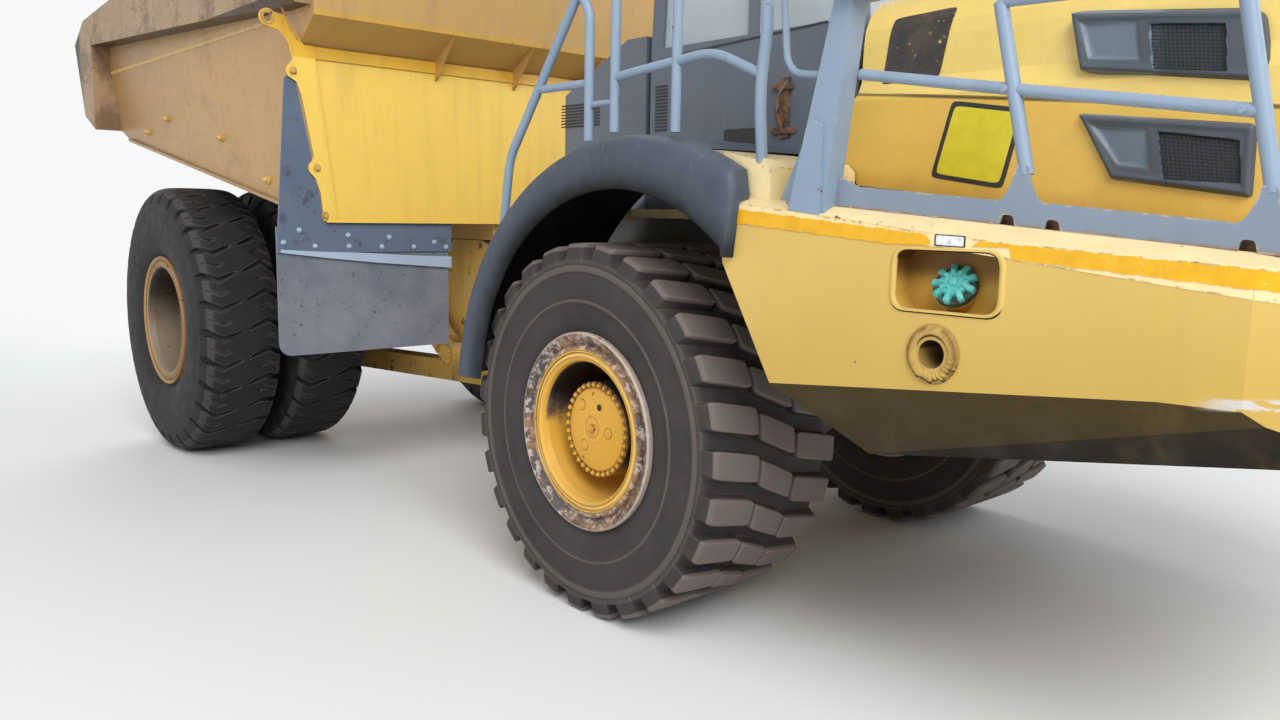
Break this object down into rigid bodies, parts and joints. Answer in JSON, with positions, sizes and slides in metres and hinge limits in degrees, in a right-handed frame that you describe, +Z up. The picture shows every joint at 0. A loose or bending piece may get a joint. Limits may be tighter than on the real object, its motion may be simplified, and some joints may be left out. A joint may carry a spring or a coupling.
{
  "type": "articulated dump truck",
  "caption": "Articulated dump truck with a centre cab, tilting hood, pivot-and-roll hitch, twin rear tyres and a wide tipping bin.",
  "frame": {"origin": "middle of the truck's length and width, on the ground", "axes": "+X forward, +Y to the truck's left, +Z up"},
  "size_m": [10.8, 4.496, 4.06],
  "materials": {
    "yellow_paint": "satin, worn at the edges",
    "cream_paint": "satin, faded",
    "weathered_paint": "matt, rusty and sooty",
    "slate_plastic": "matt, dusty",
    "slate_paint": "satin",
    "grey_tube": "satin, scuffed",
    "tyre_rubber": "matt, dusty",
    "flap_rubber": "matt, dusty",
    "steel": "smooth, greasy",
    "black_plastic": "matt",
    "seat_fabric": "woven",
    "glass": "clear, dusty",
    "turquoise_plastic": "faded",
    "clear_lens": "ribbed",
    "red_lens": "ribbed"
  },
  "bodies": {
    "front": {"front_frame": "yellow_paint", "front_axle": "slate_paint", "engine": "steel", "bumper": "yellow_paint", "filler_cap": "turquoise_plastic", "fenders": "slate_plastic", "decks": "cream_paint", "steps": "slate_paint", "walkway_rails": "grey_tube", "fender_rails": "grey_tube", "mirrors": "grey_tube", "cab_shell": "slate_paint", "cab_glass": "glass", "cab_interior": "black_plastic", "seat": "seat_fabric", "rear_box": "slate_paint", "headlamps": "clear_lens"},
    "cab_door": {"cab_door": "slate_paint", "door_glass": "glass"},
    "hood": {"hood_shell": "cream_paint", "hood_vents": "slate_plastic", "hood_grille": "black_plastic"},
    "hitch": {"hitch_yoke": "yellow_paint"},
    "steer_barrel_right": {"steer_barrel_right": "yellow_paint"},
    "steer_barrel_left": {"steer_barrel_left": "yellow_paint"},
    "steer_rod_right": {"steer_rod_right": "steel"},
    "steer_rod_left": {"steer_rod_left": "steel"},
    "rear": {"rear_frame": "yellow_paint", "rear_axle": "yellow_paint", "driveshaft": "steel", "tail_lamps": "red_lens"},
    "tip_barrels": {"tip_barrels": "yellow_paint"},
    "tip_rods": {"tip_rods": "steel"},
    "bin": {"bin_shell": "yellow_paint", "bin_rails": "weathered_paint", "mudguards": "slate_paint", "mud_flaps": "flap_rubber"},
    "front_wheel_right": {"front_tyre_right": "tyre_rubber", "front_rim_right": "yellow_paint"},
    "front_wheel_left": {"front_tyre_left": "tyre_rubber", "front_rim_left": "yellow_paint"},
    "rear_wheels_right": {"rear_tyres_right": "tyre_rubber", "rear_rims_right": "weathered_paint"},
    "rear_wheels_left": {"rear_tyres_left": "tyre_rubber", "rear_rims_left": "weathered_paint"}
  },
  "joints": [
    {"name": "steer", "type": "hinge", "parent": "front", "child": "hitch", "pos_m": [0.6, 0, 1.07], "axis": [0, 0, 1], "range_deg": [-42, 42]},
    {"name": "oscillate", "type": "hinge", "parent": "hitch", "child": "rear", "pos_m": [0.25, 0, 1.07], "axis": [1, 0, 0], "range_deg": [-12, 12]},
    {"name": "tip", "type": "hinge", "parent": "rear", "child": "bin", "pos_m": [-4.05, 0, 1.9], "axis": [0, -1, 0], "range_deg": [0, 68]},
    {"name": "tip_barrel_swing", "type": "hinge", "parent": "rear", "child": "tip_barrels", "pos_m": [-0.95, 0, 0.9], "axis": [0, -1, 0], "range_deg": [-5, 1]},
    {"name": "tip_rod_slide", "type": "slide", "parent": "tip_barrels", "child": "tip_rods", "axis": [-0.8214, 0, 0.5704], "range_m": [0, 1.48]},
    {"name": "hood_tilt", "type": "hinge", "parent": "front", "child": "hood", "pos_m": [5.34, 0, 1.935], "axis": [0, 1, 0], "range_deg": [0, 60]},
    {"name": "cab_door_swing", "type": "hinge", "parent": "front", "child": "cab_door", "pos_m": [1.88, 0.94, 3.1], "axis": [0, 0, 1], "range_deg": [0, 65]},
    {"name": "steer_barrel_right_swing", "type": "hinge", "parent": "front", "child": "steer_barrel_right", "pos_m": [1.75, -0.56, 1.07], "axis": [0, 0, 1], "range_deg": [-4, 4]},
    {"name": "steer_rod_right_slide", "type": "slide", "parent": "steer_barrel_right", "child": "steer_rod_right", "axis": [-0.9941, 0.1086, 0], "range_m": [-0.3, 0.3]},
    {"name": "steer_barrel_left_swing", "type": "hinge", "parent": "front", "child": "steer_barrel_left", "pos_m": [1.75, 0.56, 1.07], "axis": [0, 0, 1], "range_deg": [-4, 4]},
    {"name": "steer_rod_left_slide", "type": "slide", "parent": "steer_barrel_left", "child": "steer_rod_left", "axis": [-0.9941, -0.1086, 0], "range_m": [-0.3, 0.3]},
    {"name": "front_wheel_right_spin", "type": "hinge", "parent": "front", "child": "front_wheel_right", "pos_m": [2.05, -1.29, 0.94], "axis": [0, 1, 0], "continuous": true},
    {"name": "rear_wheels_right_spin", "type": "hinge", "parent": "rear", "child": "rear_wheels_right", "pos_m": [-2.86, -1.57, 1.085], "axis": [0, 1, 0], "continuous": true},
    {"name": "front_wheel_left_spin", "type": "hinge", "parent": "front", "child": "front_wheel_left", "pos_m": [2.05, 1.29, 0.94], "axis": [0, 1, 0], "continuous": true},
    {"name": "rear_wheels_left_spin", "type": "hinge", "parent": "rear", "child": "rear_wheels_left", "pos_m": [-2.86, 1.57, 1.085], "axis": [0, 1, 0], "continuous": true}
  ],
  "couplings": [
    {"joint": "tip_barrel_swing", "follows": "tip", "ratio": -0.06125},
    {"joint": "tip_rod_slide", "follows": "tip", "m_per_rad": 1.2354},
    {"joint": "steer_barrel_right_swing", "follows": "steer", "ratio": -0.03752},
    {"joint": "steer_rod_right_slide", "follows": "steer", "m_per_rad": -0.39176},
    {"joint": "steer_barrel_left_swing", "follows": "steer", "ratio": -0.03752},
    {"joint": "steer_rod_left_slide", "follows": "steer", "m_per_rad": 0.39176}
  ]
}
